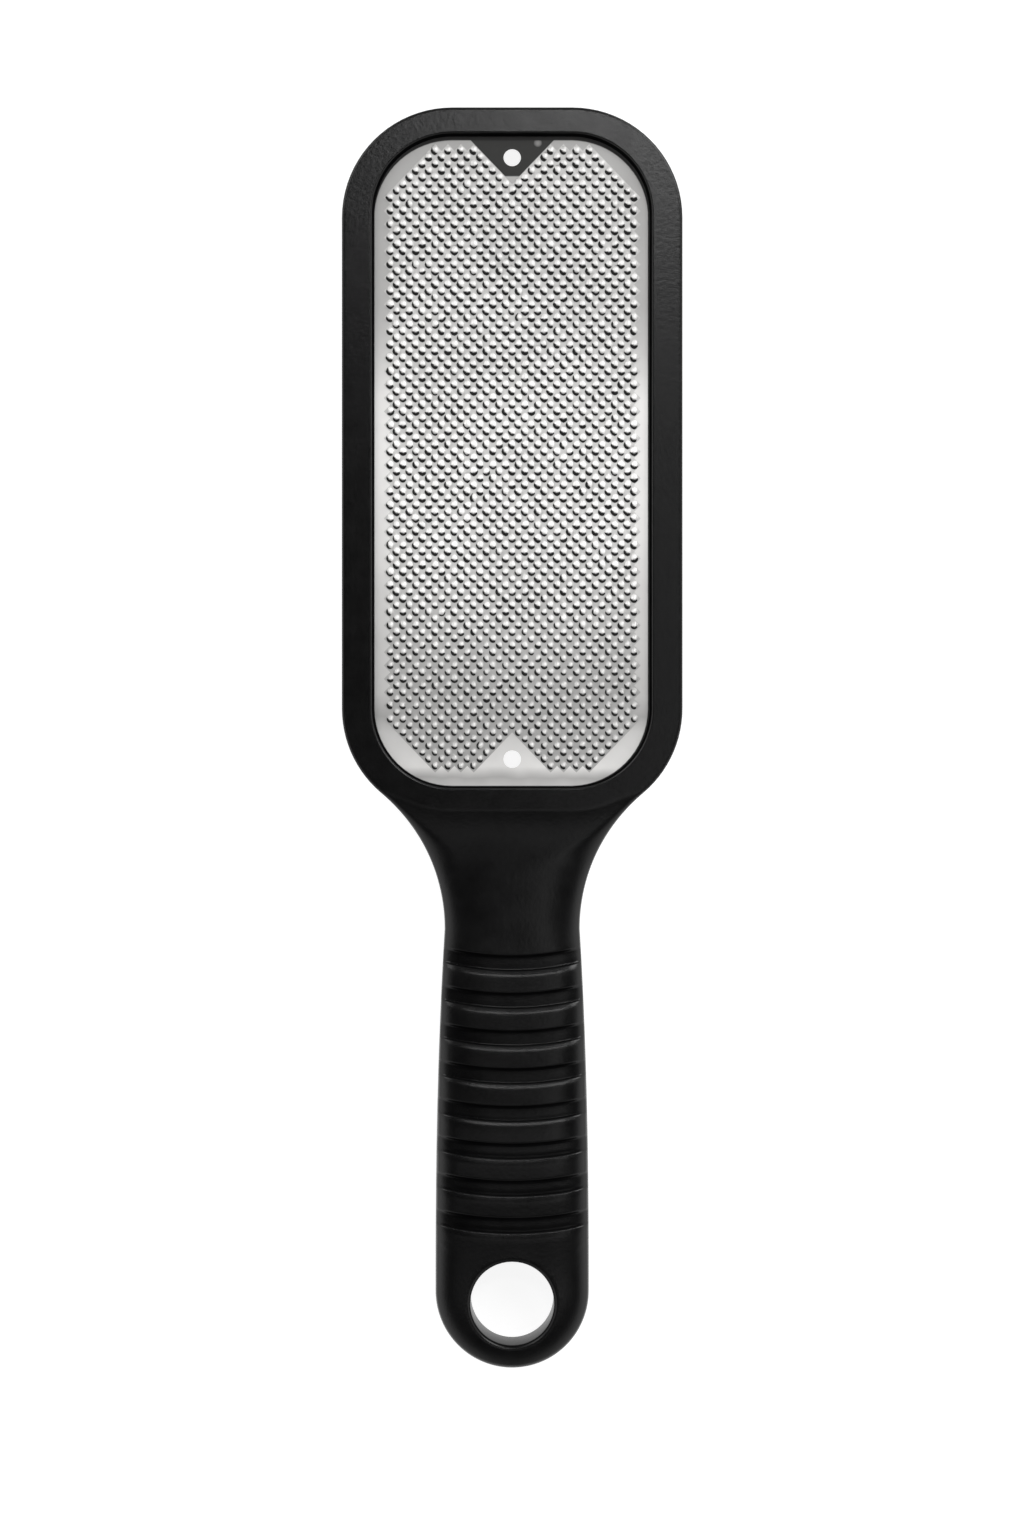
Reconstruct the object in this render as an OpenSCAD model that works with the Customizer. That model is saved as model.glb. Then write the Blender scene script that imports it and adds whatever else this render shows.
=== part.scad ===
// Foot rasp: a toothed steel plate held in the frame of a one-piece moulded handle.
// It lies on its back: +Z up, +Y toward the head, origin in the middle of its footprint.

/* [Overall] */
// Length from the top of the head to the tip of the handle
total_l = 260; // [250:1:275]

/* [Head] */
// Width of the head
head_w = 70.2; // [66:0.1:76]
// Length of the head, taken as a rounded rectangle
head_l = 146.6; // [138:0.1:152]
// Radius of the head's corners in plan
head_corner_r = 22.7; // [21:0.1:25]
// Thickness of the frame
frame_h = 9; // [8:0.1:11]
// Rounding of the frame's outer edges
frame_edge_r = 0.8; // [0.4:0.1:1.5]
// Width of the frame's face beside the plate
side_band_w = 6.1; // [5:0.1:8]
// Width of the frame's face above the plate
top_band_w = 4.9; // [4.5:0.1:7]
// Width of the frame's band below the plate
bottom_band_w = 5.9; // [5:0.1:8]
// How far the window's lip slopes inward from the face to the plate
lip_w = 0.5; // [0.2:0.1:0.8]

/* [Rasp plate] */
// Thickness of the steel sheet
plate_t = 0.5; // [0.4:0.1:0.8]
// Depth of the sheet's top below the frame's face
plate_recess = 1.5; // [1:0.1:2.5]
// How far the sheet's rim reaches into the frame
plate_tuck = 2; // [1:0.1:2.5]
// Gap between the sheet's edge and the end of its groove
plate_edge_gap = 0.15; // [0.1:0.05:0.4]
// Diameter of the two tooling holes
tooling_hole_d = 3.6; // [2.5:0.1:4.5]
// Distance from the end of the window to the centre of each tooling hole
tooling_hole_inset = 5.8; // [5:0.1:7]

/* [Teeth] */
// Distance between teeth in a row
tooth_pitch = 2.65; // [2.4:0.05:3]
// Distance between one row and the next
row_pitch = 1.38; // [1.2:0.02:1.6]
// Height of a tooth above the sheet
tooth_h = 0.5; // [0.3:0.05:0.7]
// How far the toothed pattern and its tooling holes sit toward the top of the window
pattern_shift = 0.6; // [0:0.1:1]
// Bare margin beside the teeth
tooth_margin = 3.2; // [2.6:0.1:4.5]
// Rows over which each corner of the toothed field is cut off
corner_cut_rows = 7; // [5:1:9]
// Rows over which the bare notch by each tooling hole runs out
notch_rows = 6; // [5:1:7]

/* [Handle] */
// Width of the neck
neck_w = 28; // [26:0.1:31]
// Radius of the hollow curve from the head to the neck
neck_fillet_r = 37; // [34:0.5:40]
// Width of the handle at its end, which is a half circle
handle_w = 31.7; // [30:0.1:36]
// Height of the neck's front just below the head
neck_h = 7.9; // [7.4:0.1:8.4]
// Height of the grip
grip_h = 11.5; // [10:0.1:14]
// Height of the handle at the hanging hole
end_h = 10.2; // [9:0.1:12]
// Height of the widest line of the handle's sides
side_line_h = 4.6; // [4:0.1:5.5]
// How far the back of the neck is lifted off the surface that the rasp lies on
back_lift = 0.8; // [0.4:0.1:1.2]

/* [Grip grooves] */
// Number of grooves
groove_count = 8; // [6:1:9]
// Distance between grooves
groove_pitch = 7.68; // [6.5:0.1:7.8]
// Width of a groove
groove_w = 3.9; // [3:0.1:4.5]
// Depth of a groove in the middle of the grip
groove_d = 0.9; // [0.5:0.1:1.4]
// How far the middle of a groove hangs below its ends
groove_sag = 1.8; // [1:0.1:3]
// Distance from the bottom of the head to the first groove
first_groove_gap = 28.4; // [26:0.1:30]

/* [Hanging hole] */
// Diameter of the hanging hole
hang_d = 17.2; // [14:0.1:19]
// Distance from the hole's centre to the tip of the handle
hang_inset = 13.7; // [12:0.1:15]
// Rounding of the hole's rims
hang_rim_r = 0.9; // [0.4:0.1:1.2]

/* [Hidden] */
$fn = 96;
eps = 0.01;

// Head and window, in plan
top_y = total_l / 2;
tip_y = -total_l / 2;
head_bottom_y = top_y - head_l;
head_mid_y = top_y - head_l / 2;
window_w = head_w - 2 * side_band_w;
window_l = head_l - top_band_w - bottom_band_w;
window_mid_y = head_bottom_y + bottom_band_w + window_l / 2;
window_corner_r = head_corner_r - side_band_w;

// Opening at the sheet's level, inside the sloping lip
sill_w = window_w - 2 * lip_w;
sill_l = window_l - 2 * lip_w;
sill_r = window_corner_r - lip_w;

// Steel sheet
plate_w = sill_w + 2 * plate_tuck;
plate_l = sill_l + 2 * plate_tuck;
plate_r = sill_r + plate_tuck;
plate_top_z = frame_h - plate_recess;
plate_z = plate_top_z - plate_t;

// Toothed field: teeth stand on every other point of a grid of half pitches by rows
half_pitch = tooth_pitch / 2;
field_cols = floor((sill_w / 2 - tooth_margin) / half_pitch);
field_half_rows = floor((sill_l / 2 - tooth_margin) / row_pitch);
field_mid_y = window_mid_y + pattern_shift;
corner_cut_start = field_cols - corner_cut_rows;
tooth_foot = 0.03;
tooth_root = 0.2;

// Outline of the neck: a hollow arc tangent to the head's corner circle
corner_x = head_w / 2 - head_corner_r;
corner_y = head_bottom_y + head_corner_r;
hollow_x = neck_w / 2 + neck_fillet_r;
centres = head_corner_r + neck_fillet_r;
neck_y = corner_y - sqrt(pow(centres, 2) - pow(hollow_x - corner_x, 2));
join_y = corner_y - (corner_y - neck_y) * head_corner_r / centres;
neck_inset = 0.4;
neck_inset_l = 9;
end_r = handle_w / 2;
end_y = tip_y + end_r;
first_groove_y = head_bottom_y - first_groove_gap;

// Sections of the handle are superellipses: a high power is boxy, 2 is an ellipse
power_at_head = 5;
power_at_grip = 6.5;
power_at_back = 4;
flare_power = 2.4;

// The front rises slowly from above the neck's narrowest place to the lower grooves, then falls
// away to the hanging hole. The back comes down to rest over a stretch of its own.
rise_above_neck = 15.5;
rise_past_groove = 39;
fall_past_groove = 35;
lift_above_neck = 12;
lift_below_neck = 30;

function ease(a, b, v) = let (t = min(1, max(0, (v - a) / (b - a)))) t * t * (3 - 2 * t);
function mix(a, b, t) = a + (b - a) * t;
function signed_pow(v, p) = sign(v) * pow(abs(v), p);

// Half width of the handle in plan at a place along it. Where the neck meets the head it lies
// a little inside the head's corner circle, so that the two sides cross and don't just graze.
function half_w(y) =
    y > neck_y ? hollow_x - sqrt(pow(neck_fillet_r, 2) - pow(y - neck_y, 2))
        - neck_inset * ease(join_y - neck_inset_l, join_y, y) :
    y > end_y ? mix(end_r, neck_w / 2, pow((y - end_y) / (neck_y - end_y), flare_power)) :
    sqrt(max(0, pow(end_r, 2) - pow(end_y - y, 2)));

// How much of its height the handle keeps toward its round tip
function tip_keep(y, power) = pow(1 - pow(max(0, end_y - y) / end_r, power), 1 / power);

// Height of the front and of the back along the middle of the handle
function crest_z(y) =
    let (
        rise = ease(neck_y + rise_above_neck, first_groove_y - rise_past_groove, y),
        fall = ease(first_groove_y - fall_past_groove, end_y, y)
    )
    mix(mix(neck_h, grip_h, rise), end_h, fall);
function back_z(y) = back_lift * (1 - ease(neck_y + lift_above_neck, neck_y - lift_below_neck, y));

// One point of a section. A row is [place, sag of its middle, depth below the crest].
function skin_point(row, a) =
    let (
        s = sin(a),
        front = mix(power_at_head, power_at_grip, ease(join_y, neck_y - 4, row[0])),
        power = s >= 0 ? front : power_at_back,
        across = signed_pow(cos(a), 2 / power),
        y = row[0] + row[1] * (s > 0 ? across * across : 1),
        height = s >= 0 ? crest_z(y) - row[2] - side_line_h : side_line_h - back_z(y)
    )
    [half_w(y) * across,
     y,
     side_line_h + height * tip_keep(y, power) * signed_pow(s, 2 / power)];

// Rows of the loft, from the head to the tip
neck_rows = 10;
end_rows = 4;
tip_rows = 9;
groove_floor = [[0, 0], [0.08, 1], [0.55, 1], [0.92, 0.2], [1, 0]];
last_groove_y = first_groove_y - (groove_count - 1) * groove_pitch - groove_w;
skin_rows = concat(
    [for (i = [0:neck_rows - 1]) let (t = i / neck_rows)
        [mix(join_y, first_groove_y, t), groove_sag * ease(0.3, 1, t), 0]],
    [for (i = [0:groove_count - 1]) for (step = groove_floor)
        [first_groove_y - i * groove_pitch - step[0] * groove_w, groove_sag, step[1] * groove_d]],
    [for (i = [1:end_rows]) let (t = i / end_rows)
        [mix(last_groove_y, end_y, t), groove_sag * (1 - ease(0, 1, t)), 0]],
    [for (i = [1:tip_rows]) [end_y - end_r * sin(86 * i / tip_rows), 0, 0]]
);

// Neck and handle as one closed skin of triangles
module handle_skin() {
    m = $fn / 3;
    n = len(skin_rows);
    points = [for (row = skin_rows) for (k = [0:m - 1]) skin_point(row, 360 * k / m)];
    sides = [for (i = [0:n - 2]) for (k = [0:m - 1])
        let (a = i * m + k, b = i * m + (k + 1) % m, c = a + m, d = b + m)
        each [[a, d, b], [a, c, d]]];
    caps = [[for (k = [0:m - 1]) k], [for (k = [m - 1:-1:0]) (n - 1) * m + k]];
    polyhedron(points, concat(sides, caps));
}

// Plan of a rectangle with round corners
module rounded_plan(w, l, r) {
    square([w - 2 * r, l], center = true);
    square([w, l - 2 * r], center = true);
    for (sx = [-1, 1], sy = [-1, 1])
        translate([sx * (w / 2 - r), sy * (l / 2 - r)]) circle(r);
}

// A half section, drawn outward from the corner centres, carried round a rounded rectangle
module carried_round(w, l, r, h) {
    straight_w = w - 2 * r;
    straight_l = l - 2 * r;
    translate([-straight_w / 2, -straight_l / 2, 0]) cube([straight_w, straight_l, h]);
    for (quarter = [0:3]) {
        sx = quarter == 0 || quarter == 3 ? 1 : -1;
        sy = quarter < 2 ? 1 : -1;
        translate([sx * straight_w / 2, sy * straight_l / 2, 0])
            rotate(90 * quarter) rotate_extrude(angle = 90) children();
    }
    for (side = [0, 180]) rotate(side) {
        translate([straight_w / 2, straight_l / 2, 0])
            rotate([90, 0, 0]) linear_extrude(straight_l) children();
        translate([-straight_w / 2, straight_l / 2, 0])
            rotate([90, 0, 90]) linear_extrude(straight_w) children();
    }
}

// Half section of the frame's outside, with both edges rounded
module frame_half_section() {
    square([head_corner_r - frame_edge_r, frame_h]);
    translate([0, frame_edge_r]) square([head_corner_r, frame_h - 2 * frame_edge_r]);
    for (z = [frame_edge_r, frame_h - frame_edge_r])
        translate([head_corner_r - frame_edge_r, z]) circle(frame_edge_r);
}

// Half section of the window above the sheet, wider at the face than at the sheet
module lip_half_section() {
    slope = lip_w / plate_recess;
    polygon([[0, 0], [sill_r, 0], [sill_r + lip_w + slope * eps, plate_recess + eps],
        [0, plate_recess + eps]]);
}

// Opening through the frame, the sloping lip and the groove that holds the sheet
module window_cut() {
    translate([0, window_mid_y, -eps])
        linear_extrude(plate_top_z + 2 * eps) rounded_plan(sill_w, sill_l, sill_r);
    translate([0, window_mid_y, plate_top_z])
        carried_round(sill_w, sill_l, sill_r, plate_recess + eps) lip_half_section();
    translate([0, window_mid_y, plate_z]) linear_extrude(plate_t)
        rounded_plan(plate_w + 2 * plate_edge_gap, plate_l + 2 * plate_edge_gap,
            plate_r + plate_edge_gap);
}

// Hanging hole with rounded rims
module hang_cut() {
    reach = hang_rim_r + 1;
    translate([0, tip_y + hang_inset, 0]) {
        translate([0, 0, -1]) cylinder(h = grip_h + 2, d = hang_d);
        for (rim = [[0, 1], [end_h, -1]]) translate([0, 0, rim[0]]) scale([1, 1, rim[1]])
            rotate_extrude() difference() {
                translate([hang_d / 2 - eps, -1]) square([hang_rim_r + eps, reach]);
                translate([hang_d / 2 + hang_rim_r, hang_rim_r]) circle(hang_rim_r);
            }
    }
}

module body() {
    color([0.09, 0.09, 0.095]) difference() {
        union() {
            translate([0, head_mid_y, 0])
                carried_round(head_w, head_l, head_corner_r, frame_h) frame_half_section();
            handle_skin();
        }
        window_cut();
        hang_cut();
    }
}

// Does a tooth stand on a grid point? Places count in half pitches and rows from the field's middle.
function in_field(i, j) =
    let (from_end = field_half_rows - abs(j))
    abs(i) <= min(field_cols, corner_cut_start + from_end) && abs(i) >= notch_rows - from_end;
function on_lattice(i, j) = (i + j + field_half_rows) % 2 == 0;
function has_tooth(i, j) = on_lattice(i, j) && abs(j) <= field_half_rows && in_field(i, j);

// All the teeth as one closed skin. Each tooth is a pyramid whose foot is a diamond between its four
// neighbours on the grid, so the feet share their edges, and a low wall closes the skin round the field.
module teeth_skin() {
    cols = field_cols + 1;
    rows = field_half_rows + 1;
    w = 2 * cols + 1;
    layer = w * (2 * rows + 1);
    function at(i, j) = (j + rows) * w + i + cols;
    upper = [for (j = [-rows:rows]) for (i = [-cols:cols])
        [i * half_pitch, j * row_pitch, has_tooth(i, j) ? tooth_h : tooth_foot]];
    lower = [for (p = upper) [p[0], p[1], -tooth_root]];
    teeth = [for (j = [-rows:rows]) for (i = [-cols:cols]) if (has_tooth(i, j)) [i, j]];
    sides = [for (t = teeth) for (q = [[1, 1], [-1, 1], [-1, -1], [1, -1]])
        let (
            along = at(t[0] + q[0], t[1]),
            across = at(t[0], t[1] + q[1]),
            a = q[0] * q[1] > 0 ? across : along,
            b = q[0] * q[1] > 0 ? along : across,
            open_side = !has_tooth(t[0] + q[0], t[1] + q[1])
        )
        each [
            [at(t[0], t[1]), a, b],
            if (open_side) [b, a, layer + a],
            if (open_side) [b, layer + a, layer + b]
        ]];
    floors = [for (t = teeth)
        let (
            east = layer + at(t[0] + 1, t[1]),
            north = layer + at(t[0], t[1] + 1),
            west = layer + at(t[0] - 1, t[1]),
            south = layer + at(t[0], t[1] - 1)
        )
        each [[east, north, west], [east, west, south]]];
    polyhedron(concat(upper, lower), concat(sides, floors));
}

module rasp_plate() {
    color([0.8, 0.8, 0.79]) difference() {
        union() {
            translate([0, window_mid_y, plate_z])
                linear_extrude(plate_t) rounded_plan(plate_w, plate_l, plate_r);
            translate([0, field_mid_y, plate_top_z]) teeth_skin();
        }
        for (s = [-1, 1])
            translate([0, field_mid_y + s * (window_l / 2 - tooling_hole_inset), plate_z - 1])
                cylinder(h = plate_t + tooth_h + 2, d = tooling_hole_d);
    }
}

body();
rasp_plate();
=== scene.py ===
"""A foot rasp lying on its back under soft studio light, seen straight from above.

The handle and its frame are one smooth moulded skin, and the steel sheet is a skin with one raised
tooth for every tooth of the solid part. Lengths are in millimetres until a mesh is made.
"""

import math

import bmesh
import bpy
import numpy as np
from mathutils import Matrix, Vector
from mathutils.geometry import delaunay_2d_cdt


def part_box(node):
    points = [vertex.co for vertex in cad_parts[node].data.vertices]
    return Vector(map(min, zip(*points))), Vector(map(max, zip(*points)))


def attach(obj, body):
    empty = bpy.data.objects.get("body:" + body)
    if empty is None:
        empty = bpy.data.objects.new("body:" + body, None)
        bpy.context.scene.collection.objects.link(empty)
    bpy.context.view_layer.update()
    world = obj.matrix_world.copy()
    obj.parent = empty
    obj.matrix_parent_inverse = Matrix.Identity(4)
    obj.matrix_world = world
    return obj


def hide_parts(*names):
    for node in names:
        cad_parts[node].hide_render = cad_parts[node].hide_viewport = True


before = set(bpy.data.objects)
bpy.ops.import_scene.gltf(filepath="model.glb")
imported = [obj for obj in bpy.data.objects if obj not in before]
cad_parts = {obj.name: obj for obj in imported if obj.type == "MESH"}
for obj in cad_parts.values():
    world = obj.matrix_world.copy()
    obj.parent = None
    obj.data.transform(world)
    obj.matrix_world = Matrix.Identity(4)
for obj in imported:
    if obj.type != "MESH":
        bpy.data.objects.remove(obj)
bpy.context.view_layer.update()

MM = 0.001
WELD = 0.002
rng = np.random.default_rng(7)

# Head, window and sheet
body_low, body_high = [np.array(corner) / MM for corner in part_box("body")]
plate_low = np.array(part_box("rasp_plate")[0]) / MM
HEAD_W = body_high[0] - body_low[0]
TOP_Y = round(body_high[1], 2)
TIP_Y = body_low[1] + 0.005
HEAD_L = 146.6
HEAD_R = 22.7
FRAME_H = 9.0
EDGE_R = 0.6
SIDE_BAND = 6.1
TOP_BAND = 4.9
BOTTOM_BAND = 5.9
LIP_W = 0.5
LIP_R = 0.22
BACK_ROUND = 0.35
RECESS = 1.5
TUCK = 2.0
EDGE_GAP = 0.15
HEAD_BOTTOM_Y = TOP_Y - HEAD_L
WINDOW_W = HEAD_W - 2 * SIDE_BAND
WINDOW_L = HEAD_L - TOP_BAND - BOTTOM_BAND
WINDOW_Y = HEAD_BOTTOM_Y + BOTTOM_BAND + WINDOW_L / 2
WINDOW_R = HEAD_R - SIDE_BAND
SHEET_TOP = FRAME_H - RECESS
SHEET_LOW = round(plate_low[2], 2)

# How far the window's upper edge stands in over the sheet, on three of its sides
LEAN_TOP = 0.40
LEAN_BOTTOM = 0.30
LEAN_RIGHT = 0.12

# Toothed field
TOOTH_PITCH = 2.65
ROW_PITCH = 1.38
HALF_PITCH = TOOTH_PITCH / 2
TOOTH_MARGIN = 3.2
CORNER_CUT_ROWS = 7
NOTCH_ROWS = 6
FIELD_Y = WINDOW_Y + 0.6
TOOLING_HOLE_R = 1.8
TOOLING_HOLE_IN = 5.8
TOOLING_HOLE_Y = [FIELD_Y + s * (WINDOW_L / 2 - TOOLING_HOLE_IN) for s in (-1, 1)]
FIELD_COLS = int((WINDOW_W / 2 - LIP_W - TOOTH_MARGIN) / HALF_PITCH)
FIELD_ROWS = int((WINDOW_L / 2 - LIP_W - TOOTH_MARGIN) / ROW_PITCH)

# One tooth: its radii, and what they gain on the side toward the top of the field
TOOTH_H = 0.5
FOOT_R, FOOT_GAIN = 0.70, 0.36
CREST_R, CREST_GAIN = 0.55, 0.27
FOOT_APRON = 0.30
CREST_SHARE, CREST_FALL = 0.86, 0.30
# Direction, in degrees from +X, of the painted shadow on each tooth's lower left side
DARK_SIDE_DEGREES = 246
# Toward the handle the teeth are smaller
SMALL_SIZE, SMALL_HEIGHT = 0.80, 0.88
SMALL_TEETH_Y, WIDE_TEETH_Y = 8.0, 45.0
# How much the teeth differ from each other
SIZE_SPREAD, HEIGHT_SPREAD, PLACE_SPREAD = 0.06, 0.05, 0.055
LEAN_SPREAD, SHADE_SPREAD, SHADE_SPREAD_DEGREES = 0.25, 0.15, 17

# Neck and handle
NECK_W = 28.0
NECK_FILLET = 37.0
HANDLE_W = 31.7
NECK_H = 7.9
GRIP_H = 11.48
END_H = 10.2
SIDE_LINE = 4.6
SIDE_FLAT = 0.25
BACK_LIFT = 0.8
HANG_R = 8.6
HANG_Y = -TOP_Y + 13.7
HANG_RIM = 0.9
FLARE_POWER = 2.4
POWER_EDGE = 2.0
POWER_NECK = 3.2
POWER_GRIP = 5.4
POWER_BACK = 4.0

CORNER_X = HEAD_W / 2 - HEAD_R
CORNER_Y = HEAD_BOTTOM_Y + HEAD_R
HOLLOW_X = NECK_W / 2 + NECK_FILLET
CENTRES = HEAD_R + NECK_FILLET
NECK_Y = CORNER_Y - math.sqrt(CENTRES ** 2 - (HOLLOW_X - CORNER_X) ** 2)
JOIN_Y = CORNER_Y - (CORNER_Y - NECK_Y) * HEAD_R / CENTRES
JOIN_ANGLE = math.asin((JOIN_Y - CORNER_Y) / HEAD_R)
END_R = HANDLE_W / 2
END_Y = TIP_Y + END_R

# Grooves. The tables go down from a groove's upper edge: its depth, the painted shade on its surface
# (reflection taken away, most under the upper wall), and how much more shade is painted on the handle's left
GROOVES = 8
GROOVE_PITCH = 7.68
GROOVE_SAG = 1.8
GROOVE_LEAD = 0.7
GROOVE_END = 5.4
FIRST_GROOVE_Y = HEAD_BOTTOM_Y - 28.4
END_PATCH_Y = FIRST_GROOVE_Y - (GROOVES - 1) * GROOVE_PITCH - GROOVE_END - 0.6
GROOVE_SECTION = (
    (-0.55, 0.0), (-0.42, 0.02), (-0.30, 0.12), (0.20, 0.78), (0.38, 0.84), (2.0, 0.84), (2.5, 0.90),
    (2.75, 0.84), (3.0, 0.36), (3.15, 0.24), (3.5, 0.145), (3.8, 0.07), (4.15, 0.02), (4.6, 0.0))
GROOVE_SHADE = (
    (-0.5, 0.0), (-0.3, 0.6), (-0.05, 1.0), (0.3, 0.9), (0.7, 0.35), (1.2, 0.1), (2.0, 0.25), (2.6, 0.5),
    (2.9, 0.4), (3.05, 0.05), (4.0, 0.05), (4.5, 0.0))
GROOVE_SHADE_LEFT = (
    (-0.5, 0.0), (-0.3, 0.2), (-0.05, 0.4), (0.3, 0.4), (0.7, 0.6), (2.0, 0.6), (2.6, 0.5), (2.9, 0.5),
    (3.05, 0.45), (4.0, 0.35), (4.5, 0.0))
# Where the extra painted shade on the handle's left comes in, and the rise of the grip over which the
# grooves' painted shade grows from none to full
LEFT_SIDE = (-3.0, -11.0)
SHADE_RISE = (0.45, 1.0)

# Stretches along the handle over which one form passes into the next
CREST_UP = (NECK_Y + 15.5, FIRST_GROOVE_Y - 39)
CREST_DOWN = (FIRST_GROOVE_Y - 35, END_Y)
BACK_DOWN = (NECK_Y + 12, NECK_Y - 30)
POWER_CHANGE = (FIRST_GROOVE_Y + 8, FIRST_GROOVE_Y - 6)
EDGE_TO_GRIP = (JOIN_Y, JOIN_Y - 17)
FACE_TO_NECK = (JOIN_Y + 1.2, JOIN_Y - 2.5)
SAG_START = (JOIN_Y - 8, FIRST_GROOVE_Y)
# Stretch below the seam over which the painted shade on the neck's sides fades out
SIDE_SHADE_FADE = (JOIN_Y, JOIN_Y - 12)
# The slope from the frame's face to the neck, across the head's outline
SLOPE_OUT = 9.0
SLOPE_W = 10.9

# Steps of the moulded piece's skin
ARC_STEPS = 20
JOIN_STEPS = 14
SIDE_STEPS = 40
TOP_STEPS = 12
LATERAL = 16
FILLET_STEPS = 6
WALL_ROWS = 6
TIP_POINTS = 96
RIM_POINTS = 7
NECK_STEP = 0.6
NECK_FINE_L = 16
GRIP_STEP = 1.1
SEAM_FLAT_X = 15.5
SEAM_SAG = 1.1
BOTTOM_FLAT = 0.55
BAND_SHARES = np.array([0, 0.02, 0.2, 0.4, 0.6, 0.8, 0.98, 1])[:, None, None]
SPOKE_SHARES = 1 - np.array([0, 0.0012, 0.005, 0.012, 0.022, 0.036, 0.055, 0.08, 0.12, 0.17, 0.24,
                             *np.linspace(0.32, 1, 9)])
GROOVE_MARKS = (
    -0.75, -0.55, -0.42, -0.30, -0.18, 0.0, 0.20, 0.29, 0.38, 0.6, 1.0, 1.5, 2.0, 2.3, 2.5, 2.75, 2.87,
    3.0, 3.15, 3.3, 3.5, 3.65, 3.8, 4.0, 4.15, 4.6, 5.3, 6.2)
FILLET_INSETS = EDGE_R * (1 - np.cos(np.linspace(0, math.pi / 2, FILLET_STEPS + 1)))
FILLET_DROPS = EDGE_R - np.sqrt(EDGE_R ** 2 - (EDGE_R - FILLET_INSETS) ** 2)

# Painted shade on the frame's outer edge and the wall of the hanging hole: how much of their reflection is
# taken away
EDGE_PAINTED_SHADE = 0.55
BORE_PAINTED_SHADE = 0.82

# Loops of the head and the window: half width, low and high end, corner
HEAD_LOOP = (HEAD_W / 2, HEAD_BOTTOM_Y, TOP_Y, HEAD_R)
WINDOW_LOOP = (WINDOW_W / 2, WINDOW_Y - WINDOW_L / 2, WINDOW_Y + WINDOW_L / 2, WINDOW_R)

# Section of the window's wall: distance out from the window's edge, height, and painted shade, which takes
# the reflection away so that the wall turns black. The first rows lean in over the sheet
WINDOW_WALL = (
    (LIP_R, FRAME_H, 0), (0.5 * LIP_R, FRAME_H - 0.03, 0), (0.0, FRAME_H - 0.10, 0),
    (-0.07, FRAME_H - 0.24, 0.3), (-0.12, FRAME_H - 0.34, 1), (-LIP_W, SHEET_TOP, 1),
    (TUCK - LIP_W + EDGE_GAP, SHEET_TOP, 1), (TUCK - LIP_W + EDGE_GAP, SHEET_LOW, 1),
    (-LIP_W, SHEET_LOW, 1), (-LIP_W, BACK_ROUND, 0.3), (-LIP_W + 0.1, 0.1, 0),
    (-LIP_W + BACK_ROUND, 0.0, 0),
)
LEANING_ROWS = 6

# Edges are crisp where faces meet at more than these angles
PLASTIC_CRISP_DEGREES = 38
STEEL_CRISP_DEGREES = 70


def ease(a, b, v):
    t = np.clip((v - a) / (b - a), 0, 1)
    return t * t * (3 - 2 * t)


def mix(a, b, t):
    return a + (b - a) * t


def along_table(table, v):
    """Value at v in a table of places and values, and zero outside it."""
    places, values = zip(*table)
    return np.interp(v, places, values, left=0, right=0)


def half_w(y):
    """Half width of the handle in plan below the head."""
    hollow = HOLLOW_X - np.sqrt(np.maximum(NECK_FILLET ** 2 - (y - NECK_Y) ** 2, 0))
    t = np.clip((y - END_Y) / (NECK_Y - END_Y), 0, 1)
    flare = mix(END_R, NECK_W / 2, t ** FLARE_POWER)
    return np.where(y > NECK_Y, hollow, flare)


def full_half_w(y):
    """Half width of the handle, which keeps the grip's width down to the tip."""
    return np.where(y < END_Y, END_R, half_w(np.minimum(y, JOIN_Y)))


def crest_z(y):
    """Height of the handle's front along its middle."""
    return mix(mix(NECK_H, GRIP_H, ease(*CREST_UP, y)), END_H, ease(*CREST_DOWN, y))


def head_inset(x, y):
    """How far a point lies inside the head's outline, negative outside it."""
    qx = np.abs(x) - CORNER_X
    qy = CORNER_Y - y
    outside = np.hypot(np.maximum(qx, 0), np.maximum(qy, 0))
    return HEAD_R - outside - np.minimum(np.maximum(qx, qy), 0)


def outline_inset(x, y):
    """How far a point lies inside the outline of the neck, handle or tip."""
    ax = np.abs(x)
    on_head = HEAD_R - np.hypot(np.maximum(ax - CORNER_X, 0), CORNER_Y - y)
    on_hollow = np.hypot(ax - HOLLOW_X, y - NECK_Y) - NECK_FILLET
    on_grip = half_w(y) - ax
    on_tip = END_R - np.hypot(x, y - END_Y)
    low = np.where(y > NECK_Y, on_hollow, np.where(y > END_Y, on_grip, on_tip))
    inset = np.where(y > JOIN_Y, on_head, low)
    return np.where(inset > 1e-6, inset, 0)


def across_edge(x, y):
    """How far the frame's edge has become the grip's crown, and the way out across it, 1 at the outline."""
    t = ease(*EDGE_TO_GRIP, y)
    reach = EDGE_R * (full_half_w(y) / EDGE_R) ** t
    return t, 1 - np.minimum(outline_inset(x, y) / reach, 1)


def groove_place(x, y):
    """Distance below the upper edge of the groove at this point, and the share of the grip's rise there."""
    across = np.abs(x) / full_half_w(y)
    v = FIRST_GROOVE_Y + GROOVE_SAG * across ** 2 - y
    k = np.clip(np.floor((v + GROOVE_LEAD) / GROOVE_PITCH), 0, GROOVES - 1)
    return v - k * GROOVE_PITCH, (1 - np.minimum(across, 1) ** POWER_GRIP) ** 0.5


def groove_depth(x, y):
    """Depth of a groove: steep upper wall, floor, short step and a soft shoulder that catches the light."""
    v, rise = groove_place(x, y)
    return along_table(GROOVE_SECTION, v) * rise


def groove_painted_shade(x, y):
    """Painted shade in a groove, which takes its reflection away: most under the upper wall, and more on the
    handle's left.
    """
    v, rise = groove_place(x, y)
    shade_level = along_table(GROOVE_SHADE, v) + ease(*LEFT_SIDE, x) * along_table(GROOVE_SHADE_LEFT, v)
    return np.minimum(shade_level, 1) * ease(*SHADE_RISE, rise) ** 2


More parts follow.
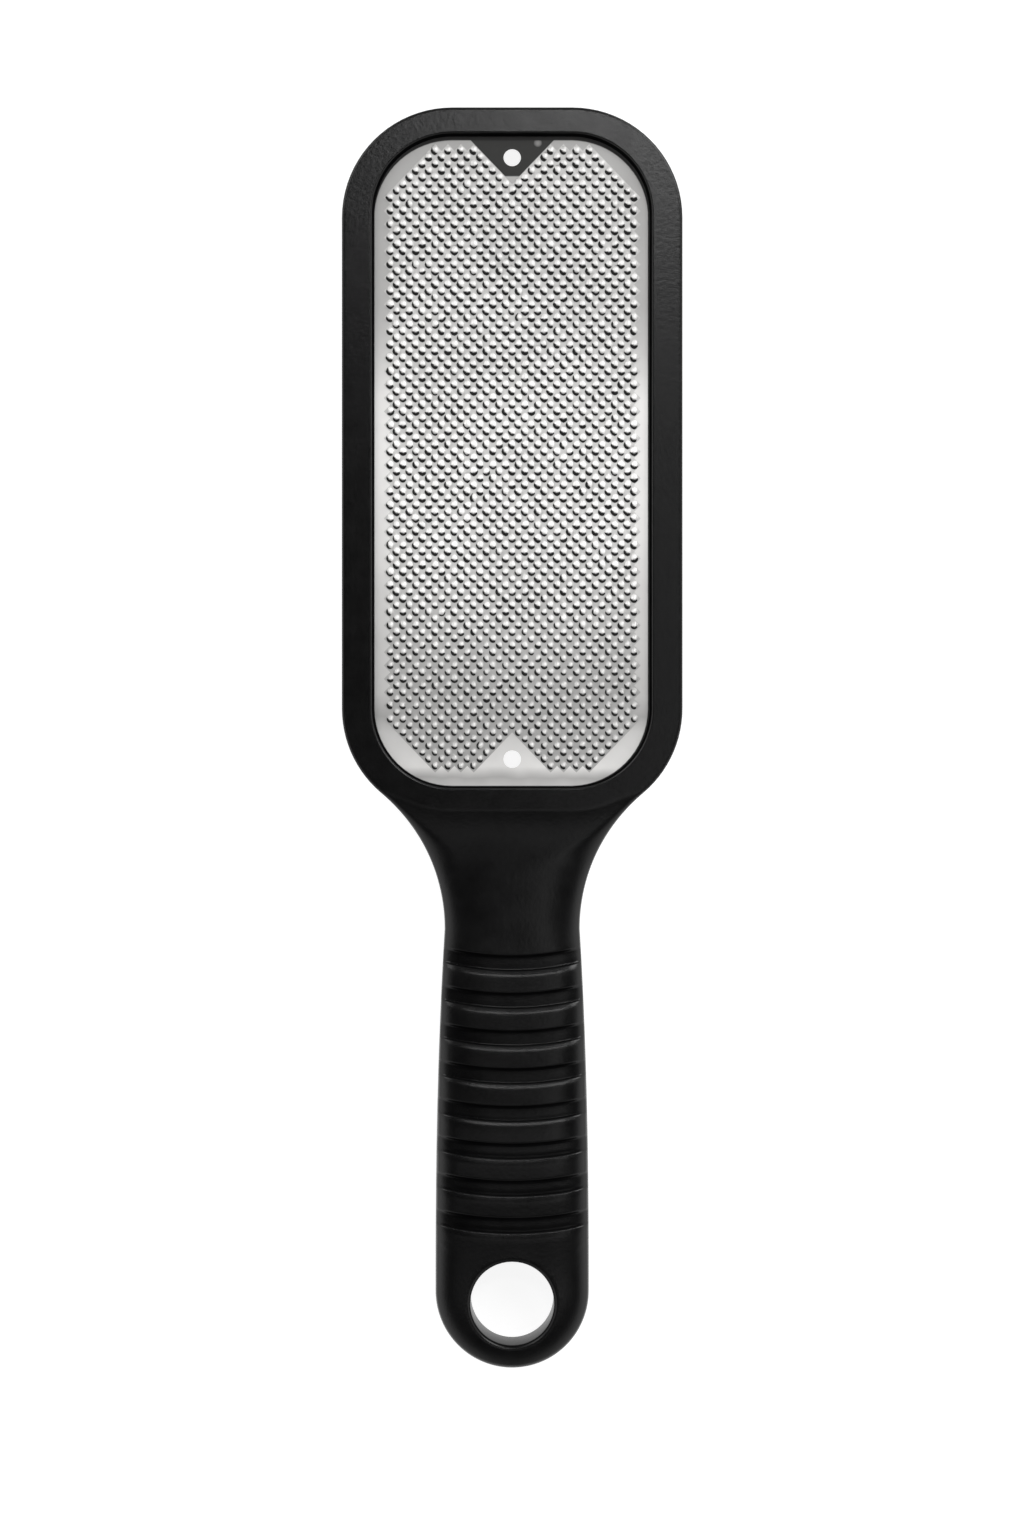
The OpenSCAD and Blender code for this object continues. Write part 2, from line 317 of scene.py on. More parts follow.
def front_z(x, y):
    """Height of the handle's front at a point in plan, with its grooves."""
    t, out = across_edge(x, y)
    slope = np.clip((head_inset(x, y) + SLOPE_OUT) / SLOPE_W, 0, 1)
    top = FRAME_H - (FRAME_H - crest_z(y)) * (1 - slope ** 2) * ease(*FACE_TO_NECK, y)
    wall_top = mix(top - EDGE_R, SIDE_LINE + SIDE_FLAT, t)
    power = mix(POWER_EDGE, mix(POWER_NECK, POWER_GRIP, ease(*POWER_CHANGE, y)), t)
    return wall_top + (top - wall_top) * (1 - out ** power) ** (1 / power) - groove_depth(x, y)


def lower_z(x, y):
    """Height of the handle's back at a point in plan."""
    t, out = across_edge(x, y)
    wall_low = mix(EDGE_R, SIDE_LINE - SIDE_FLAT, t)
    base = BACK_LIFT * (1 - ease(*BACK_DOWN, y)) * t
    power = mix(POWER_EDGE, POWER_BACK, t)
    return wall_low - (wall_low - base) * (1 - out ** power) ** (1 / power)


def add_height(plan, z):
    return np.concatenate([plan, np.broadcast_to(z, plan.shape[:-1])[..., None]], axis=-1)


def lean_in(direction):
    """How far the window's upper edge stands in over the sheet, by the side of the window."""
    nx, ny = direction[..., :1], direction[..., 1:]
    return LEAN_TOP * np.clip(ny, 0, 1) + LEAN_BOTTOM * np.clip(-ny, 0, 1) + LEAN_RIGHT * np.clip(nx, 0, 1)


def add_object(name, data):
    piece = bpy.data.objects.new(name, data)
    bpy.context.scene.collection.objects.link(piece)
    return piece


def set_values(mesh, name, domain, values):
    """Stores a number on each point or face of a mesh, for its material."""
    stored = mesh.attributes.new(name, "FLOAT", domain)
    stored.data.foreach_set("value", np.array(values, np.float32))


def weld_mesh(mesh, clean):
    """Welds points that fall on the same place, cleans up, and turns the faces outward."""
    bm = bmesh.new()
    bm.from_mesh(mesh)
    bmesh.ops.remove_doubles(bm, verts=bm.verts, dist=WELD * MM)
    clean(bm)
    bmesh.ops.recalc_face_normals(bm, faces=bm.faces)
    bm.to_mesh(mesh)
    bm.free()
    mesh.shade_smooth()


def drop_short_edges(bm):
    bmesh.ops.dissolve_degenerate(bm, edges=bm.edges, dist=WELD * MM / 4)


def drop_loose_points(bm):
    loose = [v for v in bm.verts if not v.link_faces]
    bmesh.ops.delete(bm, geom=loose, context="VERTS")


def smooth_by_angle(piece, degrees):
    """Smooth shading with crisp edges where two faces meet at more than this angle."""
    mesh = piece.data
    bm = bmesh.new()
    bm.from_mesh(mesh)
    limit = math.radians(degrees)
    for edge in bm.edges:
        edge.smooth = not (edge.is_manifold and edge.calc_face_angle(0.0) > limit)
    bm.to_mesh(mesh)
    bm.free()


class Skin:
    """Collects the points and faces of a piece, grid by grid."""

    def __init__(self):
        self.points = []
        self.painted_shade = []
        self.faces = []

    def grid(self, rows, flip=False, closed=False, painted_shade=0.0):
        """Adds a grid of quads. rows is [row, column, xyz] and painted_shade says how much reflection painted
        shade takes away at each point.
        """
        start = len(self.points)
        n_rows, n_cols = rows.shape[:2]
        self.points.extend(rows.reshape(-1, 3).tolist())
        self.painted_shade.extend(np.broadcast_to(painted_shade, rows.shape[:2]).reshape(-1).tolist())
        for r in range(n_rows - 1):
            for c in range(n_cols - (0 if closed else 1)):
                d = (c + 1) % n_cols
                a = start + r * n_cols
                quad = [a + c, a + d, a + n_cols + d, a + n_cols + c]
                self.faces.append(quad[::-1] if flip else quad)

    def side(self, edge, high, low, flip=False, painted_shade=0.0):
        """Adds an upright wall along an edge in plan."""
        rows = [add_height(edge, mix(high, low, s)) for s in np.linspace(0, 1, WALL_ROWS)]
        self.grid(np.array(rows), flip=flip, painted_shade=painted_shade)

    def build(self, name):
        mesh = bpy.data.meshes.new(name)
        mesh.from_pydata((np.array(self.points) * MM).tolist(), [], self.faces)
        set_values(mesh, "painted_shade", "POINT", self.painted_shade)
        weld_mesh(mesh, drop_short_edges)
        return add_object(name, mesh)


def frame_stations():
    """Stations round the frame from the seam's right end to its left: a corner or side, and a place on it."""
    stations = [((1, -1), a) for a in np.linspace(JOIN_ANGLE, 0, JOIN_STEPS)]
    stations += [("right", t) for t in np.linspace(0, 1, SIDE_STEPS + 1)[1:-1]]
    stations += [((1, 1), a) for a in np.linspace(0, math.pi / 2, ARC_STEPS + 1)]
    stations += [("top", t) for t in np.linspace(0, 1, TOP_STEPS + 1)[1:-1]]
    stations += [((-1, 1), a) for a in np.linspace(math.pi / 2, math.pi, ARC_STEPS + 1)]
    stations += [("left", t) for t in np.linspace(0, 1, SIDE_STEPS + 1)[1:-1]]
    stations += [((-1, -1), a) for a in np.linspace(math.pi, math.pi - JOIN_ANGLE, JOIN_STEPS)]
    return stations


def stations_below(seam_x):
    """Stations on the window's lower side, one for each point of the seam from left to right."""
    stations = []
    for x in seam_x:
        share = x / abs(seam_x[-1])
        if abs(share) < BOTTOM_FLAT:
            stations.append(("bottom", 0.5 + 0.5 * share / BOTTOM_FLAT))
        else:
            turn = (abs(share) - BOTTOM_FLAT) / (1 - BOTTOM_FLAT) * (math.pi / 2 + JOIN_ANGLE)
            side = 1 if share > 0 else -1
            stations.append(((side, -1), -math.pi / 2 + side * turn))
    return stations


def loop_point(station, half, low_y, high_y, r):
    """Place and outward direction of a station on a rounded rectangle."""
    kind, value = station
    if kind == "right":
        return (half, mix(low_y + r, high_y - r, value)), (1.0, 0.0)
    if kind == "left":
        return (-half, mix(high_y - r, low_y + r, value)), (-1.0, 0.0)
    if kind == "top":
        return (mix(half - r, r - half, value), high_y), (0.0, 1.0)
    if kind == "bottom":
        return (mix(r - half, half - r, value), low_y), (0.0, -1.0)
    sx, sy = kind
    cx = sx * (half - r)
    cy = high_y - r if sy > 0 else low_y + r
    return (cx + r * math.cos(value), cy + r * math.sin(value)), (math.cos(value), math.sin(value))


def loop_points(stations, loop):
    places, directions = zip(*[loop_point(station, *loop) for station in stations])
    return np.array(places), np.array(directions)


def seam_points():
    """Plan points of the seam where the neck leaves the frame, from its right end to its left."""
    join_x = CORNER_X + HEAD_R * math.cos(JOIN_ANGLE)
    right = [(join_x - d * math.cos(JOIN_ANGLE), JOIN_Y - d * math.sin(JOIN_ANGLE)) for d in FILLET_INSETS]
    end_x, end_y = right[-1]
    xs = -end_x * np.sin(np.linspace(-math.pi / 2, math.pi / 2, 2 * LATERAL + 1))
    ys = mix(JOIN_Y - SEAM_SAG, end_y, ease(SEAM_FLAT_X, end_x, np.abs(xs)))
    left = [(-x, y) for x, y in right[::-1]]
    return np.array(right[:-1] + list(zip(xs, ys)) + left[1:])


def add_band(skin, inner, inward, outer):
    """Face and back of the frame, from the window's edge to an outer line."""
    skin.grid(add_height(mix(inner + inward * (LIP_R - lean_in(inward)), outer, BAND_SHARES), FRAME_H))
    skin.grid(add_height(mix(inner + inward * (BACK_ROUND - LIP_W), outer, BAND_SHARES), 0.0), flip=True)


def add_frame(skin, seam):
    """The frame round the window: bands, rounded outer edge, side wall, and the window's own wall."""
    stations = frame_stations()
    outer, outward = loop_points(stations, HEAD_LOOP)
    inner, inward = loop_points(stations, WINDOW_LOOP)
    add_band(skin, inner, inward, outer - outward * EDGE_R)
    rings = np.array([outer - outward * d for d in FILLET_INSETS[::-1]])
    drops = FILLET_DROPS[::-1, None]
    # Painted shade on the rounded outer edge, growing toward the side wall, and on the side wall itself:
    # their reflection is partly taken away
    edge_shade = EDGE_PAINTED_SHADE * ease(0.25, 0.8, np.linspace(0, 1, FILLET_STEPS + 1))[:, None]
    skin.grid(add_height(rings, FRAME_H - drops), painted_shade=edge_shade)
    skin.grid(add_height(rings, drops), flip=True)
    wall = [add_height(outer, z) for z in np.linspace(FRAME_H - EDGE_R, EDGE_R, WALL_ROWS)]
    skin.grid(np.array(wall), painted_shade=EDGE_PAINTED_SHADE)

    inner_seam = seam[FILLET_STEPS:-FILLET_STEPS][::-1]
    low, low_inward = loop_points(stations_below(inner_seam[:, 0]), WINDOW_LOOP)
    add_band(skin, low, low_inward, inner_seam)

    place = np.concatenate([inner, low[1:-1]])
    direction = np.concatenate([inward, low_inward[1:-1]])
    lean = lean_in(direction)
    rows = [add_height(place + direction * (out - (lean if row < LEANING_ROWS else 0)), z)
            for row, (out, z, _) in enumerate(WINDOW_WALL)]
    # Painted shade on the window's wall, from the table
    shade_level = np.array([[painted_shade] for _, _, painted_shade in WINDOW_WALL])
    skin.grid(np.array(rows), flip=True, closed=True, painted_shade=shade_level)


def grip_rows():
    """Where the handle's rows of points lie: closely below the seam and at each groove."""
    rows = list(np.arange(JOIN_Y - NECK_STEP, JOIN_Y - NECK_FINE_L, -NECK_STEP))
    rows += list(np.arange(JOIN_Y - NECK_FINE_L - NECK_STEP, FIRST_GROOVE_Y + 1, -GRIP_STEP))
    for k in range(GROOVES):
        upper = FIRST_GROOVE_Y - k * GROOVE_PITCH
        rows += [upper - v for v in GROOVE_MARKS if v < GROOVE_END or k < GROOVES - 1]
    return rows + [END_PATCH_Y]


def grip_plan(seam):
    """Plan points of the neck and grip in rows that sag as the grooves do. The first row is the seam."""
    lateral = np.sin(np.linspace(math.pi / 2, -math.pi / 2, 2 * LATERAL + 1))
    rows = [seam]
    for y in grip_rows():
        sag = GROOVE_SAG * ease(*SAG_START, y)
        w_row = half_w(np.array(y + sag))
        edge = w_row - FILLET_INSETS[:-1]
        xs = np.concatenate([edge, (w_row - EDGE_R) * lateral, -edge[::-1]])
        like_seam = 1 - ease(JOIN_Y, JOIN_Y - NECK_FINE_L, y)
        ys = y + sag * (xs / w_row) ** 2 + (seam[:, 1] - JOIN_Y) * like_seam
        xs = xs * half_w(np.minimum(ys, JOIN_Y)) / w_row
        rows.append(np.stack([xs, ys], axis=-1))
    return np.array(rows)


def add_neck_and_grip(skin, plan):
    """Front, back and sides of the neck and grip. At the seam their heights are the frame's."""
    seam_drop = np.zeros(plan.shape[1])
    seam_drop[:FILLET_STEPS + 1] = FILLET_DROPS
    seam_drop[-FILLET_STEPS - 1:] = FILLET_DROPS[::-1]
    x, y = plan[..., 0], plan[..., 1]
    high, low = front_z(x, y), lower_z(x, y)
    high[0] = FRAME_H - seam_drop
    low[0] = seam_drop
    # The front carries the grooves' painted shade, and the sides painted shade that fades out below the seam
    skin.grid(add_height(plan, high), painted_shade=groove_painted_shade(x, y))
    skin.grid(add_height(plan, low), flip=True)
    for column, flip in ((0, False), (-1, True)):
        edge_shade = EDGE_PAINTED_SHADE * (1 - ease(*SIDE_SHADE_FADE, y[:, column]))
        skin.side(plan[:, column], high[:, column], low[:, column], flip, edge_shade[None])


def add_handle_end(skin, last_row):
    """End of the handle: from its outline in to the hanging hole, whose wall is rounded at both rims."""
    straight = np.linspace(last_row[0][1], END_Y, 10)[1:-1]
    right = [(float(half_w(np.array(y))), y) for y in straight]
    tip = [(END_R * math.cos(-a), END_Y + END_R * math.sin(-a)) for a in np.linspace(0, math.pi, TIP_POINTS)]
    outline = right + tip + [(-x, y) for x, y in right[::-1]]
    outer_loop = np.array([tuple(p) for p in last_row[::-1]] + outline)
    centre = np.array([0.0, HANG_Y])
    away = outer_loop - centre
    angle = np.arctan2(away[:, 1], away[:, 0])
    direction = np.stack([np.cos(angle), np.sin(angle)], axis=-1)
    reach = np.hypot(away[:, 0], away[:, 1])
    rim = HANG_R + HANG_RIM
    spokes = np.array([centre + direction * mix(rim, reach, s)[:, None] for s in SPOKE_SHARES])
    skin.grid(add_height(spokes, front_z(spokes[..., 0], spokes[..., 1])), closed=True, flip=True)
    skin.grid(add_height(spokes, lower_z(spokes[..., 0], spokes[..., 1])), closed=True)
    edge = np.array([tuple(last_row[0])] + outline + [tuple(last_row[-1])])
    skin.side(edge, front_z(edge[:, 0], edge[:, 1]), lower_z(edge[:, 0], edge[:, 1]))

    ring = centre + direction * rim
    rim_high = front_z(ring[:, 0], ring[:, 1])
    rim_low = lower_z(ring[:, 0], ring[:, 1])
    turns = np.linspace(0, math.pi / 2, RIM_POINTS)
    wall = [add_height(centre + direction * (rim - HANG_RIM * math.sin(a)),
                       rim_high - HANG_RIM * (1 - math.cos(a))) for a in turns]
    wall += [add_height(centre + direction * (rim - HANG_RIM * math.sin(a)),
                        rim_low + HANG_RIM * (1 - math.cos(a))) for a in turns[::-1]]
    # Painted shade on the hanging hole's wall, which takes its reflection away, least at the rims
    shade_level = BORE_PAINTED_SHADE * ease(0, RIM_POINTS - 2, np.arange(RIM_POINTS))
    skin.grid(np.array(wall), closed=True, painted_shade=np.concatenate([shade_level, shade_level[::-1]])[:, None])


def build_body():
    skin = Skin()
    seam = seam_points()
    add_frame(skin, seam)
    plan = grip_plan(seam)
    add_neck_and_grip(skin, plan)
    add_handle_end(skin, plan[-1])
    return skin.build("moulded_body")


TOOTH_POINTS = 12
HOLE_POINTS = 48
CORNER_STEPS = 16
# A point this near a hole's rim is on it, and a diamond this much larger takes in the points on its sides
RIM_SNAP = 0.01
DIAMOND_SNAP = 1.02
# Painted shadow on the sheet beside the window's wall: all round, and how much more at the top and at the
# right
SHADE_W = (0.25, 0.75, 0.25)
SHADE_DEPTH = (0.35, 0.65, 0.5)


def has_tooth(i, j):
    """Does a tooth stand here? Places count in half pitches and rows from the field's middle."""
    from_end = FIELD_ROWS - abs(j)
    if (i + j + FIELD_ROWS) % 2 or abs(j) > FIELD_ROWS:
        return False
    return NOTCH_ROWS - from_end <= abs(i) <= min(FIELD_COLS, FIELD_COLS - CORNER_CUT_ROWS + from_end)


def tooth_place(i, j):
    return i * HALF_PITCH, FIELD_Y + j * ROW_PITCH


def near_tooth(x, y, known, reach=1.0):
    """Is a plan point inside the diamond of a tooth, or of one that is larger by the reach?"""
    i0 = x / HALF_PITCH
    j0 = (y - FIELD_Y) / ROW_PITCH
    around = [(round(i0) + di, round(j0) + dj) for di in (-1, 0, 1) for dj in (-1, 0, 1)]
    return any((i, j) in known and abs(i0 - i) + abs(j0 - j) < reach for i, j in around)


def from_hole_rim(x, y):
    """Distance from the rim of the nearest tooling hole, negative inside it."""
    return min(math.hypot(x, y - hole_y) for hole_y in TOOLING_HOLE_Y) - TOOLING_HOLE_R


def tooth_diamond():
    """Twelve points on a tooth's diamond, in order of angle from +X. Neighbouring teeth share them."""
    tips = np.array([(HALF_PITCH, 0.0), (0.0, ROW_PITCH), (-HALF_PITCH, 0.0), (0.0, -ROW_PITCH)])
    return np.array([mix(tips[k], tips[(k + 1) % 4], s) for k in range(4) for s in (0, 1 / 3, 2 / 3)])


def tooth_rings(tooth_rng, tooth_y):
    """Rings of one tooth from its diamond inward, each [12, xyz], with the painted shadow at each point."""
    angle = np.arange(TOOTH_POINTS) * 2 * math.pi / TOOTH_POINTS
    wide = ease(SMALL_TEETH_Y, WIDE_TEETH_Y, tooth_y)
    size = mix(SMALL_SIZE, 1.0, wide) * (1 + tooth_rng.normal(0, SIZE_SPREAD))
    height = TOOTH_H * mix(SMALL_HEIGHT, 1.0, wide) * (1 + tooth_rng.normal(0, HEIGHT_SPREAD))
    lean = tooth_rng.normal(0, LEAN_SPREAD)
    off = np.array([*tooth_rng.normal(0, PLACE_SPREAD, 2), 0])
    up = np.clip(np.sin(angle - lean), 0, 1)
    narrow = 1 - 0.07 * np.abs(np.cos(angle))
    diamond_reach = 1 / (np.abs(np.cos(angle)) / HALF_PITCH + np.abs(np.sin(angle)) / ROW_PITCH)
    foot = (FOOT_R * narrow + FOOT_GAIN * up ** 2) * size
    apron = np.minimum(foot + FOOT_APRON, 0.95 * diamond_reach)
    crest = (CREST_R * narrow + CREST_GAIN * up ** 2) * size
    x, y = np.cos(angle), np.sin(angle)
    ring_edge = add_height(tooth_diamond(), 0.0)
    ring_apron = np.stack([apron * x, apron * y, 0 * angle], axis=-1)
    ring_foot = np.stack([foot * x, foot * y, 0 * angle], axis=-1) + 0.9 * off
    ring_crest = np.stack([crest * x, crest * y, height * (CREST_SHARE - CREST_FALL * up)], axis=-1) + off
    peak = np.array([[0.0, 0.05, height]]) + off
    # Painted shadow on the lower left side, darkest at the foot
    toward = np.cos(angle - math.radians(DARK_SIDE_DEGREES + tooth_rng.normal(0, SHADE_SPREAD_DEGREES)))
    shade = ease(0.0, 0.55, toward) * np.clip(1.05 + tooth_rng.normal(0, SHADE_SPREAD), 0.55, 1.2)
    none = np.zeros(TOOTH_POINTS)
    return (ring_edge, ring_apron, ring_foot, ring_crest, peak), (none, none, shade, 0.35 * shade, none[:1])


def raise_teeth(teeth):
    """Points, faces and painted shadow of the teeth, each on its own diamond of sheet."""
    points, faces, shades = [], [], []
    n = TOOTH_POINTS
    for i, j in teeth:
        centre = np.array([*tooth_place(i, j), SHEET_TOP])
        rings, ring_shades = tooth_rings(rng, centre[1])
        start = len(points)
        for ring, shade in zip(rings, ring_shades):
            points.extend((ring + centre).tolist())
            shades.extend(shade.tolist())
        for k in range(len(rings) - 2):
            for c in range(n):
                d = (c + 1) % n
                a = start + k * n
                faces.append([a + c, a + d, a + n + d, a + n + c])
        last = start + (len(rings) - 2) * n
        for c in range(n):
            faces.append([last + c, last + (c + 1) % n, last + n])
    return points, faces, shades


def rounded_outline(w, length, r):
    points = []
    for sx, sy, start in ((1, -1, -90), (1, 1, 0), (-1, 1, 90), (-1, -1, 180)):
        for a in np.linspace(start, start + 90, CORNER_STEPS + 1):
            points.append((sx * (w / 2 - r) + r * math.cos(math.radians(a)),
                           sy * (length / 2 - r) + r * math.sin(math.radians(a))))
    return points


class Plan:
    """Lines in plan along which the bare sheet is cut into triangles, with the painted shadow at their
    points.
    """

    def __init__(self):
        self.points = []
        self.shades = []
        self.edges = []

    def add(self, line, shades=None, closed=True):
        first, n = len(self.points), len(line)
        self.points += line
        self.shades += shades or [0.0] * n
        self.edges += [(first + k, first + (k + 1) % n) for k in range(n if closed else n - 1)]

    def triangles(self):
        """Points, triangles outside the tooling holes with their middles, and painted shadow."""
        lines = [Vector(p) for p in self.points], self.edges, []
        points, _, triangles, origins, _, _ = delaunay_2d_cdt(*lines, 1, 1e-4)
        shades = [max((self.shades[v] for v in origin), default=0.0) for origin in origins]
        middles = [np.mean([points[v][:] for v in triangle], axis=0) for triangle in triangles]
        kept = [(list(t), middle) for t, middle in zip(triangles, middles)
                if from_hole_rim(*middle) >= -RIM_SNAP]
        return points, kept, shades


def by_side(values, nx, ny):
    """A value that differs by the side of the window, for a direction out of it."""
    all_round, top, right = values
    return all_round + top * max(ny, 0) + right * max(nx, 0)


def add_shadow_loops(plan, w, length, r):
    """Loops beside the window's wall, from its foot out, on which the painted shadow on the sheet fades away.
    """
    for share in (1.0, 0.5, 0.0):
        loop, shades = [], []
        # The second outline lies 1 mm inside the first, so the step from it is the direction out
        for (x, y), (ox, oy) in zip(rounded_outline(w, length, r), rounded_outline(w - 2, length - 2, r - 1)):
            nx, ny = x - ox, y - oy
            step = float(lean_in(np.array([nx, ny]))[0]) + by_side(SHADE_W, nx, ny) * (1 - share)
            loop.append((x - nx * step, y - ny * step + WINDOW_Y))
            shades.append(share * min(by_side(SHADE_DEPTH, nx, ny), 1))
        plan.add(loop, shades)


def signed_area(corners):
    """Twice the area of a plan polygon, negative if its corners turn clockwise."""
    return sum(p.x * q.y - q.x * p.y for p, q in zip(corners, corners[1:] + corners[:1]))


def build_sheet():
    teeth = [(i, j) for j in range(-FIELD_ROWS, FIELD_ROWS + 1)
             for i in range(-FIELD_COLS, FIELD_COLS + 1) if has_tooth(i, j)]
    known = set(teeth)
    points, faces, shades = raise_teeth(teeth)
    tooth_faces = len(faces)

    # Bare sheet round the field, with the tooling holes
    w, length, r = WINDOW_W - 2 * LIP_W, WINDOW_L - 2 * LIP_W, WINDOW_R - LIP_W
    outline = [(x, y + WINDOW_Y) for x, y in rounded_outline(w + 2 * TUCK, length + 2 * TUCK, r + TUCK)]
    holes = [[(TOOLING_HOLE_R * math.cos(a), y + TOOLING_HOLE_R * math.sin(a))
              for a in np.linspace(0, 2 * math.pi, HOLE_POINTS + 1)[:-1]] for y in TOOLING_HOLE_Y]
    upper = Plan()
    upper.add(outline)
    add_shadow_loops(upper, w, length, r)
    for hole in holes:
        upper.add(hole)
    diamond = tooth_diamond()
    for i, j in teeth:
        centre = np.array(tooth_place(i, j))
        for q, (di, dj) in enumerate(((1, 1), (-1, 1), (-1, -1), (1, -1))):
            if (i + di, j + dj) not in known:
                side = [tuple(centre + diamond[(3 * q + s) % TOOTH_POINTS]) for s in range(4)]
                upper.add(side, closed=False)
    flat, triangles, flat_shades = upper.triangles()
    start = len(points)
    points.extend((p.x, p.y, SHEET_TOP) for p in flat)
    low_start = len(points)
    points.extend((p.x, p.y, SHEET_LOW) for p in flat)
    shades += flat_shades + [0.0] * len(flat)
    used_edges = {}
    for triangle, middle in triangles:
        if near_tooth(*middle, known):
            continue
        if signed_area([flat[v] for v in triangle]) <= 0:
            triangle = triangle[::-1]
        faces.append([start + v for v in triangle])
        for edge in zip(triangle, triangle[1:] + triangle[:1]):
            used_edges[edge] = True

    # Sides of the sheet and of its holes
    for a, b in used_edges:
        at_rim = abs(from_hole_rim(*flat[a])) < 2 * RIM_SNAP
        if (b, a) not in used_edges and (at_rim or not near_tooth(*flat[a], known, DIAMOND_SNAP)):
            faces.append([start + a, low_start + a, low_start + b, start + b])

    # Underside
    lower = Plan()
    for line in (outline, *holes):
        lower.add(line)
    flat, triangles, flat_shades = lower.triangles()
    start = len(points)
    points.extend((p.x, p.y, SHEET_LOW) for p in flat)
    shades += flat_shades
    faces.extend([start + v for v in triangle] for triangle, _ in triangles)

    mesh = bpy.data.meshes.new("toothed_sheet")
    mesh.from_pydata((np.array(points) * MM).tolist(), [], faces)
    # Painted shadow on the teeth and beside the window's wall
    set_values(mesh, "painted_shadow", "POINT", shades)
    set_values(mesh, "bare", "FACE", np.arange(len(faces)) >= tooth_faces)
    weld_mesh(mesh, drop_loose_points)
    return add_object("toothed_sheet", mesh)


class Graph:
    """Adds nodes to a material or world. Their inputs take numbers, colours or other nodes' outputs."""

    def __init__(self, owner):
        owner.use_nodes = True
        self.nodes, self.links = owner.node_tree.nodes, owner.node_tree.links

    def put(self, socket, value):
        if isinstance(value, bpy.types.NodeSocket):
            self.links.new(value, socket)
        else:
            socket.default_value = value

    def coords(self, kind):
        return self.nodes.new("ShaderNodeTexCoord").outputs[kind]

    def split(self, vector):
        node = self.nodes.new("ShaderNodeSeparateXYZ")
        self.put(node.inputs[0], vector)
        return node.outputs["X"], node.outputs["Y"], node.outputs["Z"]

    def attribute(self, name):
        node = self.nodes.new("ShaderNodeAttribute")
        node.attribute_name = name
        return node.outputs["Fac"]

    def math(self, operation, *values):
        node = self.nodes.new("ShaderNodeMath")
        node.operation = operation
        for socket, value in zip(node.inputs, values):
            self.put(socket, value)
        return node.outputs[0]

    def map_range(self, value, low, high, to_low=0.0, to_high=1.0, smooth=False):
        node = self.nodes.new("ShaderNodeMapRange")
        if smooth:
            node.interpolation_type = "SMOOTHSTEP"
        names = ("Value", "From Min", "From Max", "To Min", "To Max")
        for name, given in zip(names, (value, low, high, to_low, to_high)):
            self.put(node.inputs[name], given)
        return node.outputs["Result"]

    def ramp(self, value, stops):
        """Colour along a value. Each stop is a place, and a grey level or a colour."""
        node = self.nodes.new("ShaderNodeValToRGB")
        elements = node.color_ramp.elements
        for k, (place, colour) in enumerate(stops):
            stop = elements[k] if k < 2 else elements.new(place)
            stop.position = place
            stop.color = colour if isinstance(colour, tuple) else (colour, colour, colour, 1)
        self.put(node.inputs["Fac"], value)
        return node.outputs["Color"]

    def mix(self, factor, a, b, blend="MIX"):
        node = self.nodes.new("ShaderNodeMix")
        node.data_type = "RGBA"
        node.blend_type = blend
        for name, value in (("Factor", factor), ("A", a), ("B", b)):
            self.put(node.inputs[name], value)
        return node.outputs["Result"]

    def noise(self, coords, scale, detail=2.0):
        node = self.nodes.new("ShaderNodeTexNoise")
        self.put(node.inputs["Vector"], coords)
        self.put(node.inputs["Scale"], scale)
        self.put(node.inputs["Detail"], detail)
        return node.outputs["Fac"]

    def bump(self, height, strength, distance, normal=None):
        """Turns a height into bump, on top of an earlier layer if one is given."""
        node = self.nodes.new("ShaderNodeBump")
        self.put(node.inputs["Height"], height)
        self.put(node.inputs["Strength"], strength)
        self.put(node.inputs["Distance"], distance)
        if normal is not None:
            self.put(node.inputs["Normal"], normal)
        return node.outputs["Normal"]


PLASTIC_TONES = ((0.3, (0.0018, 0.0018, 0.0019, 1)), (0.7, (0.0030, 0.0030, 0.0031, 1)))
STAIN_TONES = ((0.3, (0.87, 0.86, 0.845, 1)), (0.7, (0.99, 0.98, 0.965, 1)))
# Painted reflection and shade: tone of the bare steel and of the toothed field along the window, from its
# lower end to its upper end
BARE_PAINTED_LIGHT = (
    (0.0, 0.72), (0.016, 0.48), (0.032, 0.84), (0.085, 0.64), (0.11, 0.42), (0.14, 0.60), (0.28, 0.74),
    (0.38, 0.84), (0.50, 0.90), (0.60, 0.86), (0.66, 0.63), (0.74, 0.46), (0.93, 0.41), (1.0, 0.39))
FIELD_PAINTED_LIGHT = (
    (0.0, 0.46), (0.15, 0.45), (0.20, 0.51), (0.28, 0.63), (0.38, 0.73), (0.52, 0.76), (0.66, 0.68),
    (0.80, 0.62), (1.0, 0.61))
# How far the bands of painted reflection and shade wander, in metres
WANDER = 0.0012
# Painted highlight and shade on the field: heights above the sheet between which a tooth grows brighter, and
# its tone at both, for wide and small teeth; and the stretch of the window over which the one passes into the
# other
WIDE_TIP = (0.05, 0.25, 0.88, 1.2)
SMALL_TIP = (0.14, 0.46, 0.98, 1.5)
TIP_CHANGE = (0.12, 0.36)
# The painted dark reflection in the upper notch, and the painted glint in it
NOTCH_LOW_Y = FIELD_Y + (FIELD_ROWS - NOTCH_ROWS + 1) * ROW_PITCH
PATCH_LOW_Y = NOTCH_LOW_Y + 1.5
PATCH_HALF_W = (9.0, 9.6)
PATCH_SOFT_SLANT, PATCH_SOFT_END = 0.2, 0.25
NOTCH_REFLECTION_COLOUR = (0.026, 0.026, 0.025, 1)
GLINT = (5.3, 122.9)
GLINT_SPREAD = 0.8
GLINT_STRENGTH = 0.55
PAINTED_SHADOW_COLOUR = (0.012, 0.0117, 0.0114, 1)


